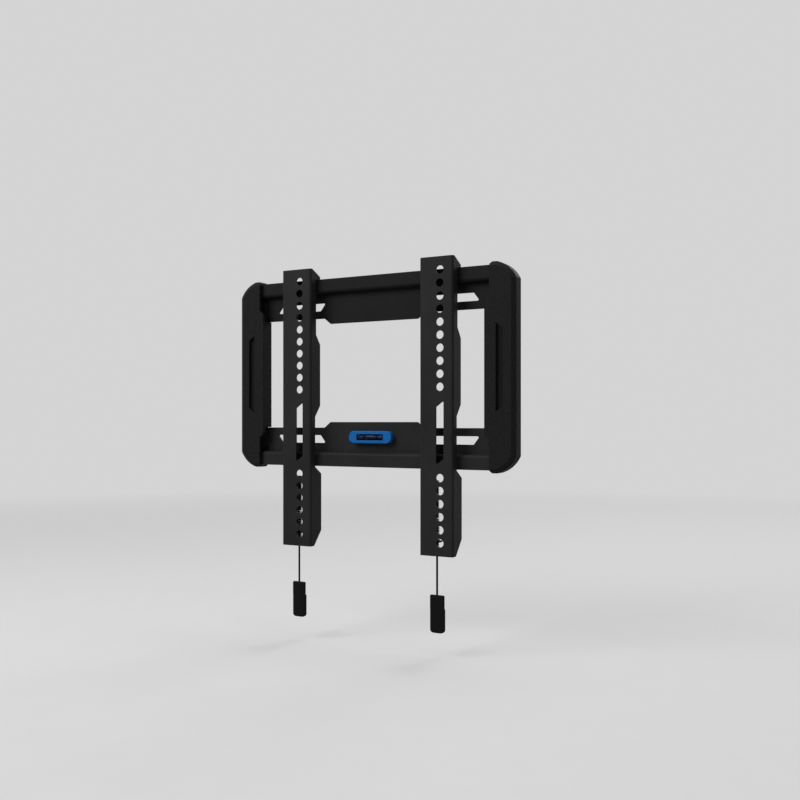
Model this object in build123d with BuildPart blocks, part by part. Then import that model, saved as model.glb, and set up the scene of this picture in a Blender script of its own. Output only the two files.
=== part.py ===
from build123d import *
import os

# Fixed wall bracket for a television.
# A wall frame of two folded steel rails, joined by two uprights under moulded covers, carries two
# folded channel arms. Each arm hooks over the lip of the top rail and is locked behind the lip of
# the bottom rail by a sprung latch, which a pull cord draws down.
#
# Millimetres. X runs along the wall, Z is up, and the wall is the plane Y = 0 with the room at -Y.
# The origin is the middle of the four wall slots. A value that ends in _out is a distance from the
# wall. Heights of the frame are given for the upper half, and the lower half mirrors them.

# Sheet
rail_steel = 1.5
arm_steel = 1.2
inner_bend = 0.8

# Wall frame
frame_width = 255.5
frame_height = 159.6
lip_inset = 2.0             # from the top of a cover to the lip beside it
lip_height = 11.6           # from a lip's edge to the far face of its step
lip_front_out = 8.0
rail_depth_end = 32.0       # from a lip's edge to the web's edge, behind the arms
rail_depth_middle = 36.7    # and in the wider middle of the rail
web_middle_gap = 4.7        # from a slot's near end to the middle of the web's ramp
web_ramp = 6.0
wall_slot_length = 49.0
wall_slot_gap = 8.2         # from a slot's far end to the cover
wall_slot_slant = 5.0
wall_slot_height = 6.5
wall_slot_drop = 22.4       # from a lip's edge to the middle of its slots
slot_corner = 0.9

# Uprights, and the rivets that hold them to the rails
upright_gap = 0.5           # from the cover's inner wall to the upright
upright_width = 18.0
upright_drop = 15.6         # from a lip's edge to the end of the upright
upright_corner = 2.0
rivet_shank_radius = 1.8
rivet_head_radius = 2.8
rivet_head_height = 1.1
rivet_pitch = 8.0
rivet_drop = 22.2           # from a lip's edge to the middle of a pair of rivets
rivet_inset = 9.0           # from the outer side of the cover to the rivets
rivet_clearance = 0.05

# Covers
cover_wall = 2.0
cover_front_out = 12.0
cover_width = 24.85         # between the rails
cover_notch = 3.9           # how far the cover steps back beside a rail
cover_notch_length = 25.0
cover_notch_slant = 3.9
cover_top_corner = 1.6
cover_side_drop = 13.0      # from the top of the cover to the start of its straight outer side
cover_shoulder = 15.5       # from the outer side to the start of its flat top
cover_shoulder_rise = 2.3   # how far the shoulder's arc stands off its chord
cover_bevel_face = 3.2
cover_bevel_depth = 2.5
cover_clearance = 0.3
groove_inset = 15.5         # from the outer side to the groove's near wall
groove_width = 5.7
groove_drop = 46.5          # from the top of the cover to the groove
groove_slant = 4.0
groove_depth = 2.4
boss_radius = 3.5
boss_height = 30.0
screw_radius = 1.5
screw_head_radius = 2.5
screw_head_height = 1.1
screw_bite = 5.0

# Spirit level
level_length = 40.0
level_height = 10.1
level_front_out = 7.0
level_drop = 24.3           # from the bottom lip's edge to the middle of the level
level_edge = 0.6
vial_length = 24.6
vial_radius = 2.4
vial_clearance = 0.1
vial_front_gap = 0.5
magnet_radius = 3.0
magnet_thickness = 1.2
magnet_spread = 15.6        # from the middle of the level to each magnet

# Arms
arm_spacing = 130.0
arm_width = 28.6
arm_height = 230.4
arm_above_lip = 8.3
arm_front_out = 17.0
hole_offset = 3.1          # from the middle of the arm to its column of holes
hole_radius = 3.25
hole_pitch = 10.0
hole_margin = 10.2          # from the end of the arm to the nearest hole
upper_holes = 10
lower_holes = 6
arm_slot_margin = 10.6      # from the last upper hole to the slot's high corner
arm_slot_foot = 9.9         # from the slot's low corner to the first lower hole
arm_slot_slant = 4.8

# Side flanges of an arm
flange_out = 2.5            # rear edge between the rails and over the hook
flange_low_out = 0.8        # rear edge below the bottom rail
top_notch_out = 8.6         # front of the notch at the top rail
bottom_notch_out = 10.0     # front of the notch at the bottom rail
hook_gap = 0.5              # between the hook and the back of the lip
hook_length = 7.6
seat_gap = 0.2              # between the notch and the top of the lip
top_flat = 3.0              # flat top of the flange before its slope
top_slope = 5.4
notch_foot = 46.0           # from the top lip's edge down to the end of the upper notch
notch_foot_slope = 8.0
lower_notch_head = 41.0     # from the bottom lip's edge up to the start of the lower notch
lower_notch_slope = 9.4
keel_gap = 0.7              # from the bottom lip's edge down to the widening below it
keel_slope = 6.0
foot_slope = 12.3           # height of the slope at the foot of the arm
foot_flat = 5.5             # flat foot of the flange before its slope
flange_corner = 0.8

# Latch
latch_travel = 8.0
latch_overlap = 7.0         # how far the latch's tooth stands behind the bottom lip
latch_side_gap = 0.15
latch_back_out = 1.7
latch_front_out = 9.3
latch_tooth_gap = 0.5
latch_tooth_rear_out = 2.2
latch_blade_width = 8.2
latch_body_drop = 9.0       # from the bottom lip's edge to the top of the latch's body
latch_tail = 18.4            # how far the blade runs on below the shelf
latch_shelf_share = 0.653   # place of the shelf in the reach below the bottom lip
latch_shelf_width = 11.3
guide_radius = 2.0
guide_head_radius = 2.7
guide_head_height = 1.0
guide_clearance = 0.3
guide_drop = 14.5           # from the bottom lip's edge to the upper guide rivet
guide_share = 0.18          # spacing of the guide rivets in the reach below the bottom lip
guide_out = 5.9
seat_share = 0.839          # place of the arm's spring seat in the reach below the bottom lip
seat_width = 12.7
seat_rear_out = 3.4
seat_front_out = 9.6

# Spring, cord and pull tag
spring_radius = 2.1         # to the middle of the wire
spring_wire = 0.3           # radius of the wire
spring_turns = 5
spring_sides = 6            # flats of the wire's section
end_gap = 0.05
cord_radius = 0.8
cord_offset = 4.45           # from the middle of the arm to the cord
cord_out = 6.0
cord_hole_radius = 1.1
cord_length = 56.0
stop_radius = 1.6
stop_height = 4.0
tag_width = 12.0
tag_height = 29.7
tag_thickness = 3.8
tag_neck_step = 1.4         # how much thinner the upper part of the tag is
tag_neck_height = 11.0
tag_foot_rise = 2.2
tag_bevel_face = 2.0
tag_bevel_depth = 0.6
tag_corner = 1.0

# Worked out from the sizes above
outer_bend = inner_bend + rail_steel
arm_outer_bend = inner_bend + arm_steel
cover_outer = frame_width / 2
cover_inner = cover_outer - cover_width
notch_inner = cover_inner + cover_notch
cover_top = frame_height / 2
cover_notch_height = cover_top - cover_notch_length
lip_z = cover_top - lip_inset
step_z = lip_z - lip_height
slot_z = lip_z - wall_slot_drop
wall_slot_outer = cover_inner - wall_slot_gap
wall_slot_inner = wall_slot_outer - wall_slot_length
web_middle_half = wall_slot_inner - web_middle_gap
groove_inner = cover_outer - groove_inset
groove_half_length = cover_top - groove_drop
upright_inner = cover_inner + cover_wall + upright_gap
upright_half_height = lip_z - upright_drop
rivet_height = lip_z - rivet_drop
rivet_x = cover_outer - rivet_inset
rail_end = upright_inner + upright_width
upright_front_out = rail_steel * 2
lip_back_out = lip_front_out - rail_steel
arm_top = lip_z + arm_above_lip
arm_bottom = arm_top - arm_height
hook_front_out = lip_back_out - hook_gap
latch_side = arm_width / 2 - arm_steel - latch_side_gap
arm_reach = -lip_z - arm_bottom
arm_slot_top = hole_margin + (upper_holes - 1) * hole_pitch + arm_slot_margin
arm_slot_low = hole_margin + (lower_holes - 1) * hole_pitch + arm_slot_foot
guide_pitch = arm_reach * guide_share
shelf_z = -lip_z - arm_reach * latch_shelf_share
seat_z = -lip_z - arm_reach * seat_share
stop_z = shelf_z + arm_steel
tag_top = stop_z - cord_length


def folded_rail(side):
    """Rail of Z section with its lip away from the frame's middle. side is 1 at the top, -1 below."""
    with BuildPart() as rail:
        with BuildSketch(Plane.YZ) as section:
            with BuildLine():
                web_edge = lip_z - rail_depth_middle
                Polyline(
                    (0, side * web_edge),
                    (0, side * (step_z + rail_steel)),
                    (-lip_back_out, side * (step_z + rail_steel)),
                    (-lip_back_out, side * lip_z),
                    (-lip_front_out, side * lip_z),
                    (-lip_front_out, side * step_z),
                    (-rail_steel, side * step_z),
                    (-rail_steel, side * web_edge),
                    close=True,
                )
            make_face()
            bends = section.vertices().filter_by_position(
                Axis.Y, *sorted((side * step_z, side * (step_z + rail_steel))))
            outer = [v for v in bends if (v.X == 0) or (v.X == -lip_front_out)]
            inner = [v for v in bends if v not in outer]
            fillet(outer, radius=outer_bend)
            fillet(inner, radius=inner_bend)
        extrude(amount=rail_end, both=True)
        # The web is narrower behind the arms, and each end of the lip clears the cover's shoulder
        with BuildSketch(Plane.XZ):
            for end in (-1, 1):
                with BuildLine():
                    Polyline(
                        (end * web_middle_half, side * (lip_z - rail_depth_middle)),
                        (end * (web_middle_half + web_ramp), side * (lip_z - rail_depth_end)),
                        (end * (rail_end + rail_steel), side * (lip_z - rail_depth_end)),
                        (end * (rail_end + rail_steel), side * (lip_z - rail_depth_middle)),
                        close=True,
                    )
                make_face()
                with BuildLine():
                    Polyline(
                        (end * rail_end, side * (cover_top - cover_side_drop - cover_wall)),
                        (end * rail_end, side * lip_z),
                        (end * (cover_outer - cover_shoulder - cover_wall), side * lip_z),
                        close=True,
                    )
                make_face()
        extrude(amount=lip_front_out, both=True, mode=Mode.SUBTRACT)
        with BuildSketch(Plane.XZ) as slots:
            half = wall_slot_height / 2
            for end in (-1, 1):
                with BuildLine():
                    Polyline(
                        (end * wall_slot_inner, side * (slot_z + half)),
                        (end * (wall_slot_outer - wall_slot_slant), side * (slot_z + half)),
                        (end * wall_slot_outer, side * (slot_z - half)),
                        (end * (wall_slot_inner + wall_slot_slant), side * (slot_z - half)),
                        close=True,
                    )
                make_face()
            fillet(slots.vertices(), radius=slot_corner)
            for end in (-1, 1):
                with Locations((end * rivet_x, side * rivet_height)):
                    with GridLocations(1, rivet_pitch, 1, 2):
                        Circle(rivet_shank_radius + rivet_clearance)
        extrude(amount=rail_steel, both=True, mode=Mode.SUBTRACT)
    return rail.part


def upright(end):
    """Flat strap in front of both webs, which ties the rails together."""
    with BuildPart() as strap:
        with BuildSketch(Plane.XZ.offset(rail_steel)):
            with Locations((end * (upright_inner + upright_width / 2), 0)):
                RectangleRounded(upright_width, 2 * upright_half_height, upright_corner)
                with GridLocations(1, 2 * boss_height, 1, 2):
                    Circle(screw_radius + rivet_clearance, mode=Mode.SUBTRACT)
            with Locations((end * rivet_x, rivet_height), (end * rivet_x, -rivet_height)):
                with GridLocations(1, rivet_pitch, 1, 2):
                    Circle(rivet_shank_radius + rivet_clearance, mode=Mode.SUBTRACT)
        extrude(amount=rail_steel)
    return strap.part


def frame_rivets():
    """Two rivets at each of the four joints, flush with the wall and domed at the front."""
    with BuildPart() as rivets:
        for end in (-1, 1):
            for side in (-1, 1):
                with BuildSketch(Plane.XZ):
                    with Locations((end * rivet_x, side * rivet_height)):
                        with GridLocations(1, rivet_pitch, 1, 2):
                            Circle(rivet_shank_radius)
                extrude(amount=upright_front_out)
                with BuildSketch(Plane.XZ.offset(upright_front_out)):
                    with Locations((end * rivet_x, side * rivet_height)):
                        with GridLocations(1, rivet_pitch, 1, 2):
                            Circle(rivet_head_radius)
                extrude(amount=rivet_head_height)
        rims = rivets.faces().sort_by(Axis.Y)[:8].edges()
        chamfer(rims, length=rivet_head_height / 2)
    return rivets.part


def cover_outline(end, notched):
    """Outline of a cover seen from the room, with its outer side at end (1 right, -1 left)."""
    arc_x = cover_outer - cover_shoulder
    arc_z = cover_top - cover_side_drop
    chord = Vector(cover_shoulder, -cover_side_drop)
    push = Vector(cover_side_drop, cover_shoulder).normalized() * cover_shoulder_rise
    crown = Vector(arc_x, cover_top) + chord * 0.5 + push
    inner_side = [(cover_inner - cover_bevel_face, 0), (cover_inner - cover_bevel_face, cover_top)]
    if notched:
        inner_side = [
            (cover_inner, 0),
            (cover_inner, cover_notch_height - cover_notch_slant),
            (notch_inner, cover_notch_height),
            (notch_inner, cover_top),
        ]
    with BuildLine() as outline:
        for side in (1, -1):
            corners = inner_side + [(arc_x, cover_top)]
            Polyline(*[(end * x, side * z) for x, z in corners])
            ThreePointArc(
                (end * arc_x, side * cover_top),
                (end * crown.X, side * crown.Y),
                (end * cover_outer, side * arc_z),
            )
        Line((end * cover_outer, arc_z), (end * cover_outer, -arc_z))
    return outline.wire()


def side_cover(end):
    """Moulded cover over an upright, open at the back and cut away where the rails pass."""
    middle = end * (upright_inner + upright_width / 2)
    with BuildPart() as cover:
        # The outline runs on past the inner side, so that the bevel there is cut away again
        with BuildSketch(Plane.XZ):
            make_face(cover_outline(end, False))
        extrude(amount=cover_front_out - cover_bevel_depth)
        with BuildSketch(Plane.XZ.offset(cover_front_out - cover_bevel_depth)):
            make_face(cover_outline(end, False))
        with BuildSketch(Plane.XZ.offset(cover_front_out)):
            make_face(cover_outline(end, False))
            offset(amount=-cover_bevel_face, kind=Kind.INTERSECTION, mode=Mode.REPLACE)
        loft(ruled=True)
        with BuildSketch(Plane.XZ):
            make_face(cover_outline(end, True))
        extrude(amount=cover_front_out, mode=Mode.INTERSECT)
        corners = cover.edges().filter_by(Axis.Y).filter_by(
            lambda e: abs(abs(e.center().X) - notch_inner) < rivet_clearance
            and abs(e.center().Z) > cover_notch_height + cover_top_corner)
        chamfer(corners, length=cover_top_corner)
        with BuildSketch(Plane.XZ):
            make_face(cover_outline(end, True))
            offset(amount=-cover_wall, kind=Kind.INTERSECTION, mode=Mode.REPLACE)
        extrude(amount=cover_front_out - cover_wall - cover_bevel_depth, mode=Mode.SUBTRACT)
        rail_top = lip_z + cover_clearance
        rail_low = lip_z - rail_depth_end - cover_clearance
        step_low = step_z - cover_clearance
        with BuildSketch(Plane.XZ):
            for side in (1, -1):
                with Locations((end * cover_inner, side * (rail_low + step_low) / 2)):
                    Rectangle(2 * (cover_notch + 2 * cover_wall), step_low - rail_low)
            for side in (1, -1):
                with BuildLine():
                    Polyline(
                        (end * (notch_inner - cover_wall), side * step_low),
                        (end * (rail_end + cover_clearance), side * step_low),
                        (end * (cover_outer - cover_shoulder - cover_wall + cover_clearance), side * rail_top),
                        (end * (notch_inner - cover_wall), side * rail_top),
                        close=True,
                    )
                make_face()
        extrude(amount=lip_front_out + cover_clearance, mode=Mode.SUBTRACT)
        with BuildSketch(Plane.XZ.offset(cover_front_out)):
            with BuildLine():
                Polyline(
                    (end * groove_inner, groove_half_length),
                    (end * (groove_inner + groove_width), groove_half_length - groove_slant),
                    (end * (groove_inner + groove_width), groove_slant - groove_half_length),
                    (end * groove_inner, -groove_half_length),
                    close=True,
                )
            make_face()
        extrude(amount=-groove_depth, mode=Mode.SUBTRACT)
        with BuildSketch(Plane.XZ.offset(upright_front_out)):
            with Locations((middle, boss_height), (middle, -boss_height)):
                Circle(boss_radius)
        extrude(until=Until.NEXT)
        with BuildSketch(Plane.XZ.offset(upright_front_out)):
            with Locations((middle, boss_height), (middle, -boss_height)):
                Circle(screw_radius + rivet_clearance)
        extrude(amount=screw_bite, mode=Mode.SUBTRACT)
    return cover.part


def cover_screws():
    """Pan-head screws from behind each upright into the covers' bosses."""
    with BuildPart() as screws:
        for end in (-1, 1):
            middle = end * (upright_inner + upright_width / 2)
            for height in (-boss_height, boss_height):
                with BuildSketch(Plane.XZ.offset(rail_steel)):
                    with Locations((middle, height)):
                        Circle(screw_radius)
                extrude(amount=rail_steel + screw_bite - screw_radius)
                with BuildSketch(Plane.XZ.offset(rail_steel)):
                    with Locations((middle, height)):
                        Circle(screw_head_radius)
                extrude(amount=-screw_head_height)
    return screws.part


def level_body():
    """Round-ended body of the spirit level, with a window for its vial and pockets for two magnets."""
    middle_z = -lip_z + level_drop
    thickness = level_front_out - rail_steel
    with BuildPart() as body:
        with BuildSketch(Plane.XZ.offset(rail_steel)):
            with Locations((0, middle_z)):
                SlotOverall(level_length, level_height)
        extrude(amount=thickness)
        chamfer(body.faces().sort_by(Axis.Y)[0].edges(), length=level_edge)
        window = 2 * (vial_radius + vial_clearance)
        with BuildSketch(Plane.XZ.offset(level_front_out)):
            with Locations((0, middle_z)):
                Rectangle(vial_length + 2 * vial_clearance, window)
        extrude(amount=-(vial_front_gap + window - vial_clearance), mode=Mode.SUBTRACT)
        with BuildSketch(Plane.XZ.offset(rail_steel)):
            with Locations((-magnet_spread, middle_z), (magnet_spread, middle_z)):
                Circle(magnet_radius + rivet_clearance)
        extrude(amount=magnet_thickness, mode=Mode.SUBTRACT)
    return body.part


def level_vial():
    """Sealed vial that lies in the level's window."""
    vial_out = level_front_out - vial_front_gap - vial_radius
    with BuildPart() as vial:
        with BuildSketch(Plane.YZ):
            with Locations((-vial_out, -lip_z + level_drop)):
                Circle(vial_radius)
        extrude(amount=vial_length / 2, both=True)
        chamfer(vial.edges().filter_by(GeomType.CIRCLE), length=level_edge)
    return vial.part


def level_magnets():
    """Two disc magnets in the back of the level, against the rail."""
    with BuildPart() as magnets:
        with BuildSketch(Plane.XZ.offset(rail_steel)):
            with Locations((-magnet_spread, -lip_z + level_drop), (magnet_spread, -lip_z + level_drop)):
                Circle(magnet_radius)
        extrude(amount=magnet_thickness)
    return magnets.part


def arm(middle):
    """Folded channel with hooked side flanges, a column of holes and a seat for the latch's spring."""
    left = middle - arm_width / 2
    with BuildPart() as channel:
        with BuildSketch(Plane.YZ.offset(left)) as flange:
            with BuildLine():
                Polyline(
                    (-arm_front_out, arm_top),
                    (-arm_front_out + top_flat, arm_top),
                    (-flange_out, arm_top - top_slope),
                    (-flange_out, lip_z + seat_gap - hook_length),
                    (-hook_front_out, lip_z + seat_gap - hook_length),
                    (-hook_front_out, lip_z + seat_gap),
                    (-top_notch_out, lip_z + seat_gap),
                    (-top_notch_out, lip_z - notch_foot),
                    (-flange_out, lip_z - notch_foot - notch_foot_slope),
                    (-flange_out, -lip_z + lower_notch_head + lower_notch_slope),
                    (-bottom_notch_out, -lip_z + lower_notch_head),
                    (-bottom_notch_out, -lip_z - keel_gap),
                    (-flange_low_out, -lip_z - keel_gap - keel_slope),
                    (-flange_low_out, arm_bottom + foot_slope),
                    (-arm_front_out + foot_flat, arm_bottom),
                    (-arm_front_out, arm_bottom),
                    close=True,
                )
            make_face()
            fillet([v for v in flange.vertices() if v.X > -arm_front_out + arm_steel], radius=flange_corner)
        extrude(amount=arm_width)
        front_edges = channel.edges().filter_by(Axis.Z).group_by(Axis.Y)[0]
        fillet(front_edges, radius=arm_outer_bend)
        with BuildSketch(Plane.XY.offset(arm_bottom)) as inside:
            depth = arm_front_out - arm_steel
            with Locations((middle, -depth / 2)):
                Rectangle(arm_width - 2 * arm_steel, depth)
            fillet(inside.vertices().group_by(Axis.Y)[0], radius=inner_bend)
        extrude(amount=arm_height, mode=Mode.SUBTRACT)
        # The seat is bent in from the left flange, and the cord runs through it
        seat_left = left + arm_steel / 2
        with BuildSketch(Plane.XY.offset(seat_z)):
            with Locations((seat_left + seat_width / 2, -(seat_front_out + seat_rear_out) / 2)):
                Rectangle(seat_width, seat_front_out - seat_rear_out)
            with Locations((middle - cord_offset, -cord_out)):
                Circle(cord_hole_radius, mode=Mode.SUBTRACT)
        extrude(amount=-arm_steel)
        with BuildSketch(Plane.XZ.offset(arm_front_out)):
            column = middle + hole_offset
            for count in range(upper_holes):
                with Locations((column, arm_top - hole_margin - count * hole_pitch)):
                    Circle(hole_radius)
            for count in range(lower_holes):
                with Locations((column, arm_bottom + hole_margin + count * hole_pitch)):
                    Circle(hole_radius)
        extrude(amount=-2 * arm_steel, mode=Mode.SUBTRACT)
        with BuildSketch(Plane.XZ.offset(arm_front_out)) as slot:
            high = arm_top - arm_slot_top
            low = arm_bottom + arm_slot_low
            with BuildLine():
                Polyline(
                    (column + hole_radius, high),
                    (column - hole_radius, high - arm_slot_slant),
                    (column - hole_radius, low),
                    (column + hole_radius, low + arm_slot_slant),
                    close=True,
                )
            make_face()
            fillet(slot.vertices(), radius=slot_corner)
        extrude(amount=-2 * arm_steel, mode=Mode.SUBTRACT)
        with BuildSketch(Plane.YZ.offset(left)):
            with Locations((-guide_out, -lip_z - guide_drop), (-guide_out, -lip_z - guide_drop - guide_pitch)):
                Circle(guide_radius + rivet_clearance)
        extrude(amount=2 * arm_steel, mode=Mode.SUBTRACT)
    return channel.part


def latch_rivets(middle):
    """Two shouldered rivets in the arm's left flange, on which the latch slides."""
    outside = middle - arm_width / 2
    inside = middle - latch_side + arm_steel + latch_side_gap
    with BuildPart() as rivets:
        for drop in (guide_drop, guide_drop + guide_pitch):
            with BuildSketch(Plane.YZ.offset(outside)):
                with Locations((-guide_out, -lip_z - drop)):
                    Circle(guide_radius)
            extrude(amount=inside - outside)
            for plane_x, height in ((outside, -guide_head_height), (inside, guide_head_height)):
                with BuildSketch(Plane.YZ.offset(plane_x)):
                    with Locations((-guide_out, -lip_z - drop)):
                        Circle(guide_head_radius)
                extrude(amount=height)
    return rivets.part


def latch(middle):
    """Sliding latch: a cheek beside the arm's flange, a blade across the back and a shelf below."""
    left = middle - latch_side
    body_top = -lip_z - latch_body_drop
    tooth_top = -lip_z + latch_overlap
    tooth_front_out = lip_back_out - latch_tooth_gap
    with BuildPart() as slider:
        with BuildSketch(Plane.YZ.offset(left)) as cheek:
            with BuildLine():
                Polyline(
                    (-latch_back_out, shelf_z),
                    (-latch_back_out, body_top),
                    (-latch_tooth_rear_out, body_top),
                    (-latch_tooth_rear_out, tooth_top),
                    (-latch_tooth_rear_out - arm_steel, tooth_top),
                    (-tooth_front_out, tooth_top - latch_overlap / 2),
                    (-tooth_front_out, -lip_z - latch_travel / 4),
                    (-latch_front_out, -lip_z - latch_travel / 2),
                    (-latch_front_out, shelf_z),
                    close=True,
                )
            make_face()
            slot_half = guide_radius + guide_clearance
            with Locations((-guide_out, -lip_z - guide_drop + latch_travel / 2),
                           (-guide_out, -lip_z - guide_drop - guide_pitch + latch_travel / 2)):
                SlotCenterToCenter(latch_travel, 2 * slot_half, rotation=90, mode=Mode.SUBTRACT)
        extrude(amount=arm_steel)
        with BuildSketch(Plane.XZ.offset(latch_back_out)):
            blade_length = body_top - shelf_z + latch_tail
            with Locations((left + latch_blade_width / 2, body_top - blade_length / 2)):
                Rectangle(latch_blade_width, blade_length)
        extrude(amount=arm_steel)
        with BuildSketch(Plane.XY.offset(shelf_z)):
            with Locations((left + latch_shelf_width / 2, -(latch_back_out + latch_front_out) / 2)):
                Rectangle(latch_shelf_width, latch_front_out - latch_back_out)
            with Locations((middle - cord_offset, -cord_out)):
                Circle(cord_hole_radius, mode=Mode.SUBTRACT)
        extrude(amount=arm_steel)
    return slider.part


def latch_spring(middle):
    """Compression spring round the cord, between the arm's seat and the latch's shelf."""
    low = seat_z + spring_wire + end_gap
    height = shelf_z - spring_wire - end_gap - low
    with BuildPart() as coil:
        with BuildLine() as turns:
            Helix(height / spring_turns, height, spring_radius, center=(middle - cord_offset, -cord_out, low))
        with BuildSketch(Plane(origin=turns.line @ 0, z_dir=turns.line % 0)):
            RegularPolygon(spring_wire, spring_sides)
        sweep(is_frenet=True)
    return coil.part


def pull_cord(middle):
    """Thin cord that hangs plumb from the stop on the latch's shelf to the tag."""
    with BuildPart() as cord:
        with BuildSketch(Plane.XY.offset(tag_top)):
            with Locations((middle - cord_offset, -cord_out)):
                Circle(cord_radius)
        extrude(amount=cord_length)
    return cord.part


def cord_stop(middle):
    """Crimped ferrule that keeps the cord from slipping through the shelf."""
    with BuildPart() as stop:
        with BuildSketch(Plane.XY.offset(stop_z)):
            with Locations((middle - cord_offset, -cord_out)):
                Circle(stop_radius)
        extrude(amount=stop_height)
        chamfer(stop.faces().sort_by(Axis.Z)[-1].edges(), length=stop_radius / 4)
    return stop.part


def pull_tag(middle):
    """Flat moulded tag with a rounded foot and a thinner neck, on the end of the cord."""
    centre_x = middle - cord_offset
    front_out = cord_out + tag_thickness / 2
    foot = tag_top - tag_height
    with BuildPart() as tag:
        with BuildSketch(Plane.XZ.offset(front_out - tag_thickness)) as face:
            with BuildLine():
                Polyline(
                    (centre_x - tag_width / 2, foot + tag_foot_rise),
                    (centre_x - tag_width / 2, tag_top),
                    (centre_x + tag_width / 2, tag_top),
                    (centre_x + tag_width / 2, foot + tag_foot_rise),
                )
                ThreePointArc(
                    (centre_x + tag_width / 2, foot + tag_foot_rise),
                    (centre_x, foot),
                    (centre_x - tag_width / 2, foot + tag_foot_rise),
                )
            make_face()
            fillet(face.vertices(), radius=tag_corner)
        extrude(amount=tag_thickness)
        front = tag.faces().sort_by(Axis.Y)[0]
        chamfer(front.edges(), length=tag_bevel_depth, length2=tag_bevel_face, reference=front)
        with BuildSketch(Plane.XZ.offset(front_out - tag_thickness)):
            with Locations((centre_x, tag_top - tag_neck_height / 2)):
                Rectangle(2 * tag_width, tag_neck_height)
        extrude(amount=tag_neck_step, mode=Mode.SUBTRACT)
    return tag.part


pieces = {
    "top_rail": folded_rail(1),
    "bottom_rail": folded_rail(-1),
    "frame_rivets": frame_rivets(),
    "cover_screws": cover_screws(),
    "level_body": level_body(),
    "level_vial": level_vial(),
    "level_magnets": level_magnets(),
}
for name, end in (("left", -1), ("right", 1)):
    arm_x = end * arm_spacing / 2
    pieces["upright_" + name] = upright(end)
    pieces["side_cover_" + name] = side_cover(end)
    pieces["arm_" + name] = arm(arm_x)
    pieces["latch_rivets_" + name] = latch_rivets(arm_x)
    pieces["latch_" + name] = latch(arm_x)
    pieces["latch_spring_" + name] = latch_spring(arm_x)
    pieces["cord_stop_" + name] = cord_stop(arm_x)
    pieces["pull_cord_" + name] = pull_cord(arm_x)
    pieces["pull_tag_" + name] = pull_tag(arm_x)

os.makedirs("parts", exist_ok=True)
for name, piece in pieces.items():
    piece.label = name
    export_step(piece, "parts/" + name + ".step")
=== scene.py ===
"""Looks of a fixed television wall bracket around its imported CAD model.

The file is laid out as an add-on and is run as a script. Each operator finishes one group of
pieces, and the last one sets the stage. Lengths are in metres, X is to the right along the wall,
Y goes into the wall and Z is up.
"""

import math

import bpy
import numpy as np
from bpy.props import FloatProperty, FloatVectorProperty, IntProperty, PointerProperty
from bpy.types import Operator, Panel, PropertyGroup
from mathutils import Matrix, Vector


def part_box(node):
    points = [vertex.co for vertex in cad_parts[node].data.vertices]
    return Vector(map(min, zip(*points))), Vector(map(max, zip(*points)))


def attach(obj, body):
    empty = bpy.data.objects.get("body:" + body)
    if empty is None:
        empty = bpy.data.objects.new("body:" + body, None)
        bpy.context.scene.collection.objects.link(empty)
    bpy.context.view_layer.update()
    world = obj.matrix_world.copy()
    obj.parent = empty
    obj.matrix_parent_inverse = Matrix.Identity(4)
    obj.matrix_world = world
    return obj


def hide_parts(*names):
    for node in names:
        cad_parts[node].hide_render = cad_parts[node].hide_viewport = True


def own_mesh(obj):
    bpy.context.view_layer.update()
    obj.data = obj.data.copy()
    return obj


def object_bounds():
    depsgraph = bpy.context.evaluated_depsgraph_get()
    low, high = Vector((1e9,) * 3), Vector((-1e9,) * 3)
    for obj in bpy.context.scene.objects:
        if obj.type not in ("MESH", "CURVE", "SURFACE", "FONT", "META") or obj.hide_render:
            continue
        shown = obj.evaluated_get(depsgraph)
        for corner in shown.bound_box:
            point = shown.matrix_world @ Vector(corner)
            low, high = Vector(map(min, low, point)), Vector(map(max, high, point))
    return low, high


bl_info = {
    "name": "Television wall bracket",
    "version": (1, 0, 0),
    "blender": (4, 5, 0),
    "location": "View3D > Sidebar > Bracket",
    "description": "Finishes a fixed wall bracket with latches, pull cords and a spirit level",
    "category": "Object",
}

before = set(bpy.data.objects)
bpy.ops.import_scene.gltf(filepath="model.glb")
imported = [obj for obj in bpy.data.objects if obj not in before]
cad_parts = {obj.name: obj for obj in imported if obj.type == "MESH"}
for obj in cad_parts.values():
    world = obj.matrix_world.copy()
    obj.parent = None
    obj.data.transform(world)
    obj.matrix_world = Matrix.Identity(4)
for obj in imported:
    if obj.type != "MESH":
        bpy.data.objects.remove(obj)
cad_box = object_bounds()

SIDES = ("left", "right")

# Specular levels of the matt blacks and of the level's plastic
BLACK_SPECULAR = 0.05
LEVEL_SPECULAR = 0.15

# How far from the groove's depth a cover's face still counts as the groove's floor, which gets
# painted shade
GROOVE_SLACK = 0.0003

# Pull tag: the neck's share of its height and how much thinner it is, the length of the slope
# between neck and body, the rise of the round foot, and the soft edge at the top
TAG_NECK_SHARE = 0.37
TAG_NECK_STEP = 0.0014
TAG_SLOPE = 0.00015
TAG_FOOT_RISE = 0.0026
TAG_EDGE = 0.0009

# Pull cord: control points of its straight route
CORD_POINTS = 5

# Latch spring: radius of its wire, and rings of points per turn
WIRE_RADIUS = 0.0003
RINGS_PER_TURN = 40

# Vial: the fluid's share of its radius, and how much shorter each end of the fluid is
FLUID_SHARE = 0.86
FLUID_MARGIN = 0.0006

# Bubble: its shift to the right, then its place forward and up and its half depth and half
# height as shares of the fluid's radius
BUBBLE_SHIFT = 0.0004
BUBBLE_FORWARD = 0.62
BUBBLE_UP = 0.42
BUBBLE_DEPTH = 0.42
BUBBLE_HEIGHT = 0.5

# Painted rings: their height over the vial, width and thickness
RING_LIFT = 0.00002
RING_WIDTH = 0.0011
RING_THICKNESS = 0.00008

# Stage: radius of the floor, distances between which it fades, and the tone of the room
FLOOR_RADIUS = 4.0
FLOOR_FADE = (0.45, 1.8)
ROOM_TONE = 0.66

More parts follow.
